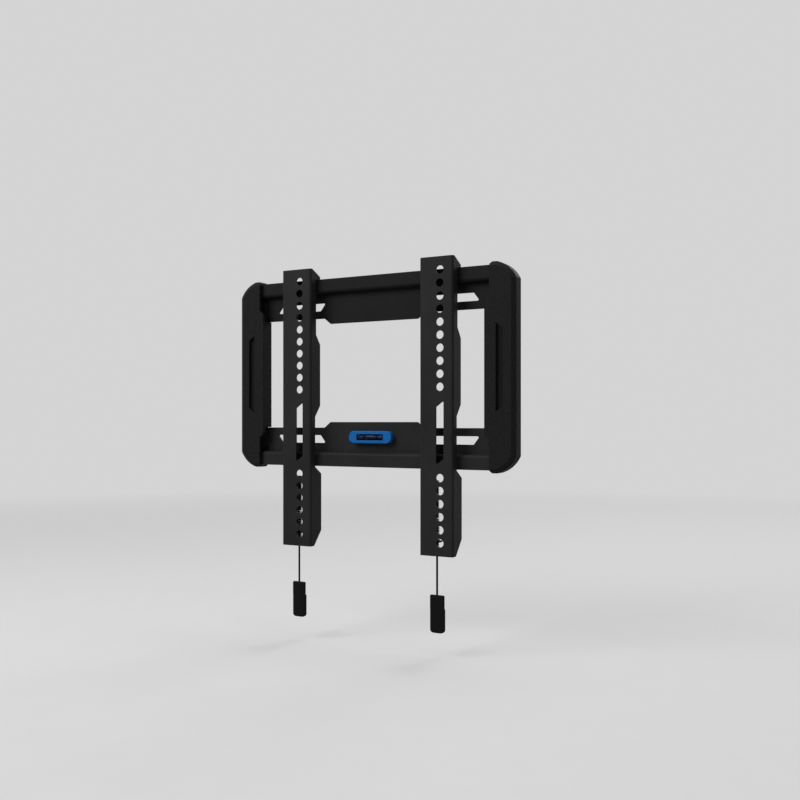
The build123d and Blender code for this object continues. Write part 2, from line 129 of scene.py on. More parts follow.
# Lamps: name, place, size and the setting that holds the power
LAMPS = (
    ("key lamp", (-0.65, -1.25, 0.95), 1.0, "key_power"),
    ("fill lamp", (1.3, -1.0, 0.3), 1.1, "fill_power"),
    ("top lamp", (0.1, 0.15, 1.5), 1.0, "top_power"),
    ("back lamp", (0.3, 1.3, 0.9), 0.8, "back_power"),
)


# Mesh building

def put_mesh(name, points, faces, smooth=True):
    """Puts points (n by 3) and faces (lists of point numbers) into a new object at the origin."""
    mesh = bpy.data.meshes.new(name)
    mesh.from_pydata(np.asarray(points, dtype=float).tolist(), [], faces)
    mesh.polygons.foreach_set("use_smooth", np.full(len(mesh.polygons), smooth))
    mesh.update()
    piece = bpy.data.objects.new(name, mesh)
    bpy.context.collection.objects.link(piece)
    return piece


def grid_faces(rows, columns, wrap_rows=False):
    """Quads of a grid whose columns close into a ring, its points numbered row by row."""
    last_row = rows if wrap_rows else rows - 1
    row, column = np.meshgrid(np.arange(last_row), np.arange(columns), indexing="ij")
    next_row = (row + 1) % rows
    next_column = (column + 1) % columns
    quads = np.stack(
        [row * columns + column, row * columns + next_column,
         next_row * columns + next_column, next_row * columns + column], axis=-1)
    return quads.reshape(-1, 4).tolist()


def capped_tube(name, loops, flip=False):
    """Closes a stack of loops (rows by columns by 3) with one pole at each end and skins it."""
    rows, columns = loops.shape[:2]
    faces = grid_faces(rows, columns)
    poles = [loops[0].mean(axis=0), loops[-1].mean(axis=0)]
    points = np.concatenate([loops.reshape(-1, 3), poles])
    first_pole = rows * columns
    around = np.arange(columns)
    after = (around + 1) % columns
    start = np.stack([np.full(columns, first_pole), after, around], axis=-1)
    end = np.stack([np.full(columns, first_pole + 1),
                    (rows - 1) * columns + around, (rows - 1) * columns + after], axis=-1)
    faces += start.tolist() + end.tolist()
    if flip:
        faces = [face[::-1] for face in faces]
    return put_mesh(name, points, faces)


def rounded_rod(name, centre, half_length, radius, tip):
    """Rod along X with elliptical tips.

    At arc u from 0 to 90 degrees a ring has radius r sin(u) and stands at x = -(half_length - tip)
    - tip cos(u), mirrored at the other end. The outermost ring keeps a fiftieth of the radius.
    """
    turn = np.linspace(0, 2 * np.pi, 48, endpoint=False)
    arc = np.linspace(0, np.pi / 2, 9)[:-1]
    straight = half_length - tip
    along = np.concatenate([-straight - tip * np.cos(arc), straight + tip * np.cos(arc)[::-1]])
    size = np.concatenate([np.sin(arc), np.sin(arc)[::-1]])
    size = np.maximum(size, 0.02) * radius
    loops = np.stack(
        [centre[0] + along[:, None] + 0 * turn, centre[1] + size[:, None] * np.cos(turn),
         centre[2] + size[:, None] * np.sin(turn)], axis=-1)
    return capped_tube(name, loops)


def ellipsoid(name, centre, half_sizes):
    """Point = centre + half_sizes * (cos u cos v, cos u sin v, sin u), closed at both poles."""
    rise = np.linspace(-np.pi / 2, np.pi / 2, 21)[1:-1]
    turn = np.linspace(0, 2 * np.pi, 36, endpoint=False)
    loops = np.stack(
        [centre[0] + half_sizes[0] * np.cos(rise)[:, None] * np.cos(turn),
         centre[1] + half_sizes[1] * np.cos(rise)[:, None] * np.sin(turn),
         centre[2] + half_sizes[2] * np.sin(rise)[:, None] + 0 * turn], axis=-1)
    return capped_tube(name, loops)


def band(name, x, centre, radius, width, thickness):
    """Thin ring round the X axis, whose section is the superellipse |x/a|^4 + |y/b|^4 = 1."""
    turn = np.linspace(0, 2 * np.pi, 64, endpoint=False)
    section = np.linspace(0, 2 * np.pi, 12, endpoint=False)
    across = np.sign(np.cos(section)) * np.abs(np.cos(section)) ** 0.5 * width / 2
    out = np.sign(np.sin(section)) * np.abs(np.sin(section)) ** 0.5 * thickness / 2
    far = radius + out
    points = np.stack(
        [x + across + 0 * turn[:, None], centre[1] + far * np.cos(turn)[:, None],
         centre[2] + far * np.sin(turn)[:, None]], axis=-1)
    faces = grid_faces(len(turn), len(section), wrap_rows=True)
    return put_mesh(name, points.reshape(-1, 3), faces)


def coil(name, centre, low, high, radius, wire, turns):
    """Compression spring with closed ends.

    The wire's middle runs at angle t round a vertical axis. Its height rises by just over the
    wire's thickness in the first and last turn, and evenly over the turns between. Each point's
    ring lies in the plane of the radius and of the cross product of radius and tangent.
    """
    steps = turns * RINGS_PER_TURN + 1
    angle = np.linspace(0, 2 * np.pi * turns, steps)
    share = np.linspace(0, turns, steps)
    pitch = 2.05 * wire
    height = np.interp(share, [0, 1, turns - 1, turns],
                       [low + wire, low + wire + pitch, high - wire - pitch, high - wire])
    spoke = np.stack([np.cos(angle), np.sin(angle), np.zeros(steps)], axis=-1)
    middle = spoke * radius + np.array([centre[0], centre[1], 0])
    middle[:, 2] = height
    tangent = np.gradient(middle, axis=0)
    tangent /= np.linalg.norm(tangent, axis=1)[:, None]
    up = np.cross(spoke, tangent)
    ring = np.linspace(0, 2 * np.pi, 12, endpoint=False)
    out, rise = np.cos(ring)[:, None], np.sin(ring)[:, None]
    loops = middle[:, None] + wire * (out * spoke[:, None] + rise * up[:, None])
    return capped_tube(name, loops, flip=True)


def pull_tag(name, box):
    """Flat tag with soft edges, a thinner neck and a rounded foot, filling its CAD solid's box.

    At height z its section is the superellipse |x/a|^12 + |y/b|^6 = 1. Half width a grows with the
    sine of the arc over the round foot. Half thickness b steps down from the body to the neck along
    a logistic curve, and the middle moves forward by as much, so that the front stays flat.
    """
    low, high = np.array(box[0]), np.array(box[1])
    middle = (low + high) / 2
    half = (high - low) / 2
    foot_arc = np.linspace(0, np.pi / 2, 14)
    top_arc = np.linspace(0, np.pi / 2, 8)[1:]
    foot = low[2] + TAG_FOOT_RISE * (1 - np.cos(foot_arc))
    body = np.linspace(low[2] + TAG_FOOT_RISE, high[2] - TAG_EDGE, 60)[1:]
    top = high[2] - TAG_EDGE + TAG_EDGE * np.sin(top_arc)
    pulled_in = TAG_EDGE * (1 - np.cos(top_arc))
    height = np.concatenate([foot, body, top])
    neck_foot = high[2] - TAG_NECK_SHARE * (high[2] - low[2])
    step = TAG_NECK_STEP / 2 / (1 + np.exp((neck_foot - height) / TAG_SLOPE))
    wide = np.full(len(height), half[0])
    wide[:len(foot)] *= 0.4 + 0.6 * np.sin(foot_arc) ** 0.8
    wide[-len(top):] -= pulled_in
    thick = half[1] - step
    thick[:len(foot)] = half[1] * (0.45 + 0.55 * np.sin(foot_arc) ** 0.7)
    thick[-len(top):] = thick[-len(top) - 1] - pulled_in
    front = middle[1] - step
    turn = np.linspace(0, 2 * np.pi, 96, endpoint=False)
    across = np.sign(np.cos(turn)) * np.abs(np.cos(turn)) ** (2 / 12)
    deep = np.sign(np.sin(turn)) * np.abs(np.sin(turn)) ** (2 / 6)
    loops = np.stack(
        [middle[0] + wide[:, None] * across, front[:, None] + thick[:, None] * deep,
         height[:, None] + 0 * turn], axis=-1)
    return capped_tube(name, loops)


# Materials

def start_material(name):
    """New material with its shader, and a texture coordinate that reads Object coordinates."""
    material = bpy.data.materials.new(name)
    material.use_nodes = True
    shader = material.node_tree.nodes["Principled BSDF"]
    place = material.node_tree.nodes.new("ShaderNodeTexCoord").outputs["Object"]
    return material, shader, place


def add_noise(material, place, grain, detail, stretch=(1, 1, 1)):
    """Noise whose features are about grain metres across, drawn out by stretch."""
    tree = material.node_tree
    scaled = tree.nodes.new("ShaderNodeMapping")
    scaled.inputs["Scale"].default_value = stretch
    tree.links.new(place, scaled.inputs["Vector"])
    noise = tree.nodes.new("ShaderNodeTexNoise")
    noise.inputs["Scale"].default_value = 1 / grain
    noise.inputs["Detail"].default_value = detail
    tree.links.new(scaled.outputs["Vector"], noise.inputs["Vector"])
    return noise.outputs["Fac"]


def spread(material, value, low, high, start=0.3, end=0.7):
    """Maps a value between start and end to a number between low and high."""
    tree = material.node_tree
    span = tree.nodes.new("ShaderNodeMapRange")
    span.inputs["From Min"].default_value = start
    span.inputs["From Max"].default_value = end
    span.inputs["To Min"].default_value = low
    span.inputs["To Max"].default_value = high
    tree.links.new(value, span.inputs["Value"])
    return span.outputs["Result"]


def tint(material, value, dark, light):
    """Mixes two colours by a value."""
    tree = material.node_tree
    mix = tree.nodes.new("ShaderNodeMix")
    mix.data_type = "RGBA"
    mix.inputs["A"].default_value = (*dark, 1)
    mix.inputs["B"].default_value = (*light, 1)
    tree.links.new(value, mix.inputs["Factor"])
    return mix.outputs["Result"]


def raise_grain(material, shader, height, depth, soft_edge=0.0):
    """Bump from a height in metres, over edges rounded by soft_edge."""
    tree = material.node_tree
    bump = tree.nodes.new("ShaderNodeBump")
    bump.inputs["Distance"].default_value = depth
    bump.inputs["Strength"].default_value = 1.0
    tree.links.new(height, bump.inputs["Height"])
    if soft_edge:
        edge = tree.nodes.new("ShaderNodeBevel")
        edge.samples = 8
        edge.inputs["Radius"].default_value = soft_edge
        tree.links.new(edge.outputs["Normal"], bump.inputs["Normal"])
    tree.links.new(bump.outputs["Normal"], shader.inputs["Normal"])


def scaled_colour(colour, factor):
    """A colour made lighter or darker by a factor."""
    return tuple(min(1.0, channel * factor) for channel in colour)


def two_tone(material, value, colour, dark, light):
    """Mixes a colour's darker and lighter tone, given as factors, by a value."""
    return tint(material, value, scaled_colour(colour, dark), scaled_colour(colour, light))


def calculate(tree, operation, *values):
    """Math node on values that are sockets or plain numbers."""
    node = tree.nodes.new("ShaderNodeMath")
    node.operation = operation
    for socket, value in zip(node.inputs, values):
        if isinstance(value, bpy.types.NodeSocket):
            tree.links.new(value, socket)
        else:
            socket.default_value = value
    return node.outputs["Value"]


def powder_coat(settings, name, tone):
    """Semi-matt black powder coat: a slow orange peel under a fine grain, duller on the peaks."""
    material, shader, place = start_material(name)
    links = material.node_tree.links
    peel = add_noise(material, place, settings.coat_grain * 3.0, detail=2.0)
    grain = add_noise(material, place, settings.coat_grain, detail=4.0)
    cloud = add_noise(material, place, 0.03, detail=3.0)
    # A tone below 1 darkens the coat's colour as painted shade, as on the top rail
    colour = scaled_colour(settings.coat_colour, tone)
    patches = spread(material, cloud, 0, 1)
    links.new(two_tone(material, patches, colour, dark=0.86, light=1.14),
              shader.inputs["Base Color"])
    rough = settings.coat_roughness
    links.new(spread(material, peel, rough - 0.05, rough + 0.07), shader.inputs["Roughness"])
    shader.inputs["Specular IOR Level"].default_value = BLACK_SPECULAR
    height = calculate(material.node_tree, "MULTIPLY_ADD", grain, 0.6, peel)
    raise_grain(material, shader, height, settings.coat_depth, settings.edge_round)
    return material


def painted_shade_in_grooves(material, place, settings):
    """Mask of painted shade: 1 on the floor of the covers' grooves, found by depth and distance
    from the middle.
    """
    tree = material.node_tree
    low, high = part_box("side_cover_right")
    axes = tree.nodes.new("ShaderNodeSeparateXYZ")
    tree.links.new(place, axes.inputs["Vector"])
    away = calculate(tree, "ABSOLUTE", axes.outputs["X"])
    middle = high[0] - settings.groove_place
    across = calculate(tree, "COMPARE", away, middle, settings.groove_reach)
    floor = low[1] + settings.groove_depth
    deep = calculate(tree, "COMPARE", axes.outputs["Y"], floor, GROOVE_SLACK)
    return calculate(tree, "MULTIPLY", across, deep)


def moulded_plastic(settings):
    """Black plastic from a spark-eroded mould: close pits of two sizes, and painted shade on the
    floors of its grooves.
    """
    material, shader, place = start_material("textured black plastic")
    links = material.node_tree.links
    pits = add_noise(material, place, settings.plastic_grain, detail=3.0)
    specks = add_noise(material, place, settings.plastic_grain * 0.45, detail=2.0)
    colour = settings.plastic_colour
    speck = spread(material, specks, 0, 1, start=0.35, end=0.65)
    face = two_tone(material, speck, colour, dark=0.5, light=1.7)
    # The grooves' floors are darkened here as painted shade
    floor = painted_shade_in_grooves(material, place, settings)
    whole = two_tone(material, floor, colour, dark=1, light=settings.groove_painted_shade)
    links.new(face, whole.node.inputs["A"])
    links.new(whole, shader.inputs["Base Color"])
    links.new(spread(material, pits, 0.5, 0.64), shader.inputs["Roughness"])
    shader.inputs["Specular IOR Level"].default_value = BLACK_SPECULAR
    height = calculate(material.node_tree, "MULTIPLY_ADD", specks, 0.5, pits)
    raise_grain(material, shader, height, settings.plastic_depth, settings.cover_edge_round)
    return material


def soft_plastic(settings):
    """Matt black plastic of the pull tags, with a faint satin cloud."""
    material, shader, place = start_material("matt black plastic")
    links = material.node_tree.links
    grain = add_noise(material, place, 0.0005, detail=3.0)
    patches = spread(material, grain, 0, 1)
    links.new(two_tone(material, patches, settings.tag_colour, dark=0.8, light=1.2),
              shader.inputs["Base Color"])
    links.new(spread(material, grain, 0.5, 0.62), shader.inputs["Roughness"])
    shader.inputs["Specular IOR Level"].default_value = BLACK_SPECULAR
    raise_grain(material, shader, grain, depth=0.00002)
    return material


def plated_steel(name, colour, grain, low, high, stretch=(1, 1, 1)):
    """Plated or drawn steel: metal whose roughness and tone follow a stretched grain."""
    material, shader, place = start_material(name)
    links = material.node_tree.links
    shader.inputs["Metallic"].default_value = 1.0
    streak = add_noise(material, place, grain, detail=3.0, stretch=stretch)
    cloud = add_noise(material, place, 0.004, detail=2.0)
    patches = spread(material, cloud, 0, 1)
    links.new(two_tone(material, patches, colour, dark=0.85, light=1.1),
              shader.inputs["Base Color"])
    links.new(spread(material, streak, low, high), shader.inputs["Roughness"])
    raise_grain(material, shader, streak, depth=0.000006, soft_edge=0.00015)
    return material


def level_plastic(settings):
    """Bright plastic of the spirit level, with a fine satin grain."""
    material, shader, place = start_material("blue level plastic")
    links = material.node_tree.links
    grain = add_noise(material, place, 0.0004, detail=2.0)
    patches = spread(material, grain, 0, 1)
    links.new(two_tone(material, patches, settings.body_colour, dark=0.93, light=1.06),
              shader.inputs["Base Color"])
    links.new(spread(material, grain, 0.3, 0.4), shader.inputs["Roughness"])
    shader.inputs["Specular IOR Level"].default_value = LEVEL_SPECULAR
    raise_grain(material, shader, grain, depth=0.000008, soft_edge=0.00025)
    return material


def clear_vial():
    """Thin clear tube of the vial, mostly seen through. Its tone drifts, as drawn plastic does."""
    material, shader, place = start_material("clear vial")
    drift = add_noise(material, place, 0.003, detail=2.0)
    colour = tint(material, drift, (0.02, 0.025, 0.05), (0.03, 0.035, 0.06))
    material.node_tree.links.new(colour, shader.inputs["Base Color"])
    shader.inputs["Roughness"].default_value = 0.16
    shader.inputs["Specular IOR Level"].default_value = 0.25
    shader.inputs["Alpha"].default_value = 0.15
    return material


def vial_fluid(settings):
    """Dyed spirit in the vial, with a slow swirl in its tone."""
    material, shader, place = start_material("vial fluid")
    swirl = add_noise(material, place, 0.006, detail=2.0)
    patches = spread(material, swirl, 0, 1)
    colour = two_tone(material, patches, settings.fluid_colour, dark=0.8, light=1.25)
    material.node_tree.links.new(colour, shader.inputs["Base Color"])
    shader.inputs["Roughness"].default_value = 0.3
    shader.inputs["Specular IOR Level"].default_value = 0.1
    return material


def bubble_painted_highlight(settings):
    """Painted highlight of the bubble: a blue-grey lighter than the fluid, with a soft glint."""
    material, shader, place = start_material("vial bubble")
    glint = add_noise(material, place, 0.0016, detail=1.0)
    colour = two_tone(material, glint, settings.bubble_highlight_colour, dark=0.8, light=1)
    material.node_tree.links.new(colour, shader.inputs["Base Color"])
    shader.inputs["Roughness"].default_value = 0.3
    shader.inputs["Specular IOR Level"].default_value = 0.2
    return material


def ring_paint():
    """Blue-black paint of the two rings on the vial."""
    material, shader, place = start_material("vial ring paint")
    grain = add_noise(material, place, 0.0003, detail=2.0)
    colour = tint(material, grain, (0.003, 0.003, 0.008), (0.006, 0.006, 0.014))
    material.node_tree.links.new(colour, shader.inputs["Base Color"])
    shader.inputs["Roughness"].default_value = 0.5
    shader.inputs["Specular IOR Level"].default_value = BLACK_SPECULAR
    return material


def braided_cord(settings):
    """Black braid: two sets of diagonal strands that cross round the cord's height."""
    material, shader, place = start_material("black braided cord")
    tree = material.node_tree
    weave = []
    for slant in (1, -1):
        turned = tree.nodes.new("ShaderNodeMapping")
        turned.inputs["Rotation"].default_value = (0, slant * math.radians(40), 0)
        tree.links.new(place, turned.inputs["Vector"])
        wave = tree.nodes.new("ShaderNodeTexWave")
        wave.bands_direction = "Z"
        wave.inputs["Scale"].default_value = 0.31 / settings.cord_strand
        wave.inputs["Distortion"].default_value = 0.4
        tree.links.new(turned.outputs["Vector"], wave.inputs["Vector"])
        weave.append(wave.outputs["Fac"])
    crossing = calculate(tree, "MULTIPLY", *weave)
    tree.links.new(two_tone(material, crossing, settings.cord_colour, dark=0.5, light=1.6),
                   shader.inputs["Base Color"])
    shader.inputs["Roughness"].default_value = 0.8
    shader.inputs["Specular IOR Level"].default_value = 0.1
    shader.inputs["Sheen Weight"].default_value = 0.03
    raise_grain(material, shader, crossing, depth=0.00012)
    return material


def pale_floor(glow):
    """Pale floor that fades into the room with distance.

    Its glow, seen by the camera alone, lifts it to the room's tone.
    """
    material, shader, place = start_material("pale floor")
    tree = material.node_tree
    shader.inputs["Roughness"].default_value = 0.9
    speck = add_noise(material, place, 0.02, detail=2.0)
    tree.links.new(tint(material, speck, (0.45, 0.45, 0.45), (0.47, 0.47, 0.47)),
                   shader.inputs["Base Color"])
    path = tree.nodes.new("ShaderNodeLightPath")
    shader.inputs["Emission Color"].default_value = (1, 1, 1, 1)
    tree.links.new(spread(material, path.outputs["Is Camera Ray"], 0, glow, start=0, end=1),
                   shader.inputs["Emission Strength"])
    away = tree.nodes.new("ShaderNodeVectorMath")
    away.operation = "LENGTH"
    tree.links.new(place, away.inputs[0])
    clear = tree.nodes.new("ShaderNodeBsdfTransparent")
    mix = tree.nodes.new("ShaderNodeMixShader")
    tree.links.new(spread(material, away.outputs["Value"], 0, 1, *FLOOR_FADE), mix.inputs["Fac"])
    tree.links.new(shader.outputs["BSDF"], mix.inputs[1])
    tree.links.new(clear.outputs["BSDF"], mix.inputs[2])
    tree.links.new(mix.outputs["Shader"], tree.nodes["Material Output"].inputs["Surface"])
    return material


def pale_room(strength):
    """World that lights evenly and looks pale grey to the camera, in gloss and through glass."""
    world = bpy.data.worlds.new("pale room")
    world.use_nodes = True
    tree = world.node_tree
    light = tree.nodes["Background"]
    light.inputs["Color"].default_value = (1, 1, 1, 1)
    light.inputs["Strength"].default_value = strength
    seen = tree.nodes.new("ShaderNodeBackground")
    seen.inputs["Color"].default_value = (ROOM_TONE, ROOM_TONE, ROOM_TONE, 1)
    path = tree.nodes.new("ShaderNodeLightPath")
    mix = tree.nodes.new("ShaderNodeMixShader")
    shown = path.outputs["Is Camera Ray"]
    for ray in ("Is Glossy Ray", "Is Transmission Ray"):
        shown = calculate(tree, "MAXIMUM", shown, path.outputs[ray])
    tree.links.new(shown, mix.inputs["Fac"])
    tree.links.new(light.outputs["Background"], mix.inputs[1])
    tree.links.new(seen.outputs["Background"], mix.inputs[2])
    tree.links.new(mix.outputs["Shader"], tree.nodes["World Output"].inputs["Surface"])
    return world


def dress(node, material):
    """Gives a CAD node's object one better material."""
    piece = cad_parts[node]
    piece.data.materials.clear()
    piece.data.materials.append(material)


def finish_piece(piece, material, body):
    """Gives a new piece its material, in a material slot, and its body."""
    piece.data.materials.append(material)
    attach(piece, body)


# Settings

class CoatSettings(PropertyGroup):
    """Powder coat and moulded covers."""

    coat_colour: FloatVectorProperty(
        name="Coat colour", description="Black of the powder-coated steel",
        default=(0.0235, 0.0235, 0.0242), min=0, max=1, subtype="COLOR")
    coat_roughness: FloatProperty(
        name="Coat roughness", description="Middle roughness of the coat",
        default=0.45, min=0, max=1)
    coat_grain: FloatProperty(
        name="Coat grain", description="Size of the coat's fine grain",
        default=0.0007, unit="LENGTH", precision=5)
    coat_depth: FloatProperty(
        name="Coat depth", description="Depth of the coat's grain",
        default=0.000035, unit="LENGTH", precision=6)
    edge_round: FloatProperty(
        name="Sheet edge", description="Radius of the coat over a cut edge",
        default=0.0003, unit="LENGTH", precision=5)
    # Painted shade: the top rail's coat is darkened to this share of the rest
    top_rail_painted_shade: FloatProperty(
        name="Top rail painted shade", description="Tone of the top rail's coat as a share of the rest",
        default=0.55, min=0, max=1)
    plastic_colour: FloatVectorProperty(
        name="Cover colour", description="Black of the moulded covers",
        default=(0.0122, 0.0122, 0.0126), min=0, max=1, subtype="COLOR")
    plastic_grain: FloatProperty(
        name="Cover grain", description="Size of the pits in the covers",
        default=0.0012, unit="LENGTH", precision=5)
    plastic_depth: FloatProperty(
        name="Cover pit depth", description="Depth of the pits in the covers",
        default=0.00009, unit="LENGTH", precision=6)
    groove_place: FloatProperty(
        name="Groove place", description="From a cover's outer side to the middle of its groove",
        default=0.01265, unit="LENGTH", precision=5)
    groove_reach: FloatProperty(
        name="Groove reach", description="Half the width of a groove",
        default=0.00275, unit="LENGTH", precision=5)
    groove_depth: FloatProperty(
        name="Groove depth", description="Depth of a groove",
        default=0.0024, unit="LENGTH", precision=4)
    # Painted shade: the grooves' floors are darkened to this share of the cover's tone
    groove_painted_shade: FloatProperty(
        name="Groove shade", description="Tone of a groove's floor as a share of the cover's",
        default=0.75, min=0, max=1)
    cover_edge_round: FloatProperty(
        name="Cover edge", description="Radius of the covers' edges",
        default=0.0005, unit="LENGTH", precision=5)


class PullSettings(PropertyGroup):
    """Latches, cords and tags."""

    steel_colour: FloatVectorProperty(
        name="Plated steel", description="Colour of latches, rivets and screws",
        default=(0.42, 0.42, 0.43), min=0, max=1, subtype="COLOR")
    cord_length: FloatProperty(
        name="Cord length", description="Length of a pull cord",
        default=0.056, unit="LENGTH", precision=4)
    cord_diameter: FloatProperty(
        name="Cord diameter", description="Diameter of a pull cord",
        default=0.0016, unit="LENGTH", precision=4)
    cord_strand: FloatProperty(
        name="Cord strand", description="Width of a strand of the braid",
        default=0.0006, unit="LENGTH", precision=5)
    cord_colour: FloatVectorProperty(
        name="Cord colour", description="Colour of the braid",
        default=(0.006, 0.006, 0.0065), min=0, max=1, subtype="COLOR")
    tag_colour: FloatVectorProperty(
        name="Tag colour", description="Colour of the pull tags",
        default=(0.0075, 0.0075, 0.0078), min=0, max=1, subtype="COLOR")
    tag_offset: FloatProperty(
        name="Tag offset", description="How far a tag hangs to the right of its cord",
        default=0.0005, unit="LENGTH", precision=4)
    spring_turns: IntProperty(
        name="Spring turns", description="Turns of a latch spring",
        default=7, min=3)
    spring_keep: FloatProperty(
        name="Spring keep", description="Share of its height that a pressed spring keeps",
        default=0.36, min=0, max=1, subtype="FACTOR")


class LevelSettings(PropertyGroup):
    """Spirit level."""

    body_colour: FloatVectorProperty(
        name="Body colour", description="Blue of the level's body",
        default=(0.0045, 0.125, 0.4), min=0, max=1, subtype="COLOR")
    fluid_colour: FloatVectorProperty(
        name="Fluid colour", description="Colour of the dyed spirit",
        default=(0.0115, 0.011, 0.033), min=0, max=1, subtype="COLOR")
    # Painted highlight: the bubble's lighter blue-grey stands in for the light it reflects
    bubble_highlight_colour: FloatVectorProperty(
        name="Bubble colour", description="Colour of the bubble",
        default=(0.03, 0.045, 0.08), min=0, max=1, subtype="COLOR")
    bubble_length: FloatProperty(
        name="Bubble length", description="Length of the bubble",
        default=0.0086, unit="LENGTH", precision=4)
    ring_spacing: FloatProperty(
        name="Ring spacing", description="Distance between the vial's two rings",
        default=0.0118, unit="LENGTH", precision=4)


class StageSettings(PropertyGroup):
    """Floor, lamps and camera."""

    floor_drop: FloatProperty(
        name="Floor drop", description="Height of the lowest point above the floor",
        default=0.02, unit="LENGTH")
    floor_glow: FloatProperty(
        name="Floor glow", description="Light that the floor shows to the camera",
        default=0.22)
    key_power: FloatProperty(
        name="Key lamp", description="Power of the key lamp",
        default=20.0, unit="POWER")
    fill_power: FloatProperty(
        name="Fill lamp", description="Power of the fill lamp",
        default=0.6, unit="POWER")
    top_power: FloatProperty(
        name="Top lamp", description="Power of the top lamp",
        default=10.0, unit="POWER")
    back_power: FloatProperty(
        name="Back lamp", description="Power of the back lamp",
        default=7.5, unit="POWER")
    room_light: FloatProperty(
        name="Room light", description="Strength of the room's even light",
        default=0.16)
    camera_place: FloatVectorProperty(
        name="Camera place", description="Where the camera stands",
        default=(0.37945, -0.65524, -0.04135), subtype="TRANSLATION")
    camera_turn: FloatProperty(
        name="Camera turn", description="Turn of the camera to the left",
        default=math.radians(28.5), subtype="ANGLE")
    camera_lens: FloatProperty(
        name="Camera lens", description="Focal length on a 36 mm sensor",
        default=41.658, subtype="DISTANCE_CAMERA")
    camera_shift: FloatProperty(
        name="Camera shift", description="Upward shift of the picture in frame widths",
        default=0.0279)
    camera_side_shift: FloatProperty(
        name="Camera side shift", description="Rightward shift of the picture in frame widths",
        default=0.0009)


# Operators

class BRACKET_OT_wall_frame(Operator):
    """Coats the rails and uprights, and finishes the covers, rivets and screws"""

    bl_idname = "bracket.wall_frame"
    bl_label = "Wall frame"

    def execute(self, context):
        settings = context.scene.bracket_coat
        coat = powder_coat(settings, "black powder coat", 1)
        for node in ("bottom_rail", "upright_left", "upright_right"):
            dress(node, coat)
        # The top rail gets a darker copy of the coat: painted shade
        dress("top_rail", powder_coat(settings, "deep black powder coat", settings.top_rail_painted_shade))
        plastic = moulded_plastic(settings)
        for side in SIDES:
            dress("side_cover_" + side, plastic)
        steel = plated_steel("screw zinc", context.scene.bracket_pull.steel_colour,
                             grain=0.0006, low=0.3, high=0.48)
        dress("cover_screws", steel)
        dress("frame_rivets", coat)
        return {"FINISHED"}


class BRACKET_OT_arms(Operator):
    """Coats the two arms"""

    bl_idname = "bracket.arms"
    bl_label = "Arms"

    def execute(self, context):
        coat = bpy.data.materials.get("black powder coat")
        if coat is None:
            raise RuntimeError("the wall frame is finished before the arms")
        for side in SIDES:
            dress("arm_" + side, coat)
        return {"FINISHED"}


class BRACKET_OT_latches(Operator):
    """Finishes the latches and their rivets, and winds a spring for each"""

    bl_idname = "bracket.latches"
    bl_label = "Latches"

    def execute(self, context):
        settings = context.scene.bracket_pull
        steel = plated_steel("latch zinc", settings.steel_colour,
                             grain=0.0006, low=0.3, high=0.46, stretch=(1, 1, 0.15))
        dull = scaled_colour(settings.steel_colour, 0.8)
        wire = plated_steel("spring wire", dull, grain=0.0003, low=0.25, high=0.36)
        for side in SIDES:
            dress("latch_" + side, steel)
            dress("latch_rivets_" + side, steel)
            dress("cord_stop_" + side, steel)
            low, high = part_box("latch_spring_" + side)
            centre = [(low[0] + high[0]) / 2, (low[1] + high[1]) / 2]
            radius = (high[0] - low[0]) / 2 - WIRE_RADIUS
            spring = coil("spring_wire_" + side, centre, low[2], high[2], radius, WIRE_RADIUS,
                          settings.spring_turns)
            finish_piece(spring, wire, side + "_arm")
            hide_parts("latch_spring_" + side)
            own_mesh(spring)
        return {"FINISHED"}


class BRACKET_OT_pull_cords(Operator):
    """Hangs a braided cord with a moulded tag from each latch"""

    bl_idname = "bracket.pull_cords"
    bl_label = "Pull cords"

    def execute(self, context):
        settings = context.scene.bracket_pull
        braid = braided_cord(settings)
        plastic = soft_plastic(settings)
        for side in SIDES:
            low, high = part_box("pull_cord_" + side)
            x, y = (low[0] + high[0]) / 2, (low[1] + high[1]) / 2
            box = np.array(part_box("pull_tag_" + side)) + np.array([settings.tag_offset, 0, 0])
            tag = pull_tag("tag_" + side, box)
            finish_piece(tag, plastic, side + "_latch")
            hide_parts("pull_tag_" + side)
            curve = bpy.data.curves.new("cord_" + side, "CURVE")
            curve.dimensions = "3D"
            spline = curve.splines.new("NURBS")
            spline.points.add(CORD_POINTS - 1)
            places = np.linspace((x, y, high[2], 1), (x, y, low[2], 1), CORD_POINTS)
            spline.points.foreach_set("co", places.ravel())
            spline.order_u = 3
            spline.use_endpoint_u = True
            spline.resolution_u = 24
            curve.bevel_depth = settings.cord_diameter / 2
            curve.bevel_resolution = 6
            curve.use_fill_caps = True
            cord = bpy.data.objects.new("cord_" + side, curve)
            context.collection.objects.link(cord)
            finish_piece(cord, braid, side + "_latch")
            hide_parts("pull_cord_" + side)
        return {"FINISHED"}


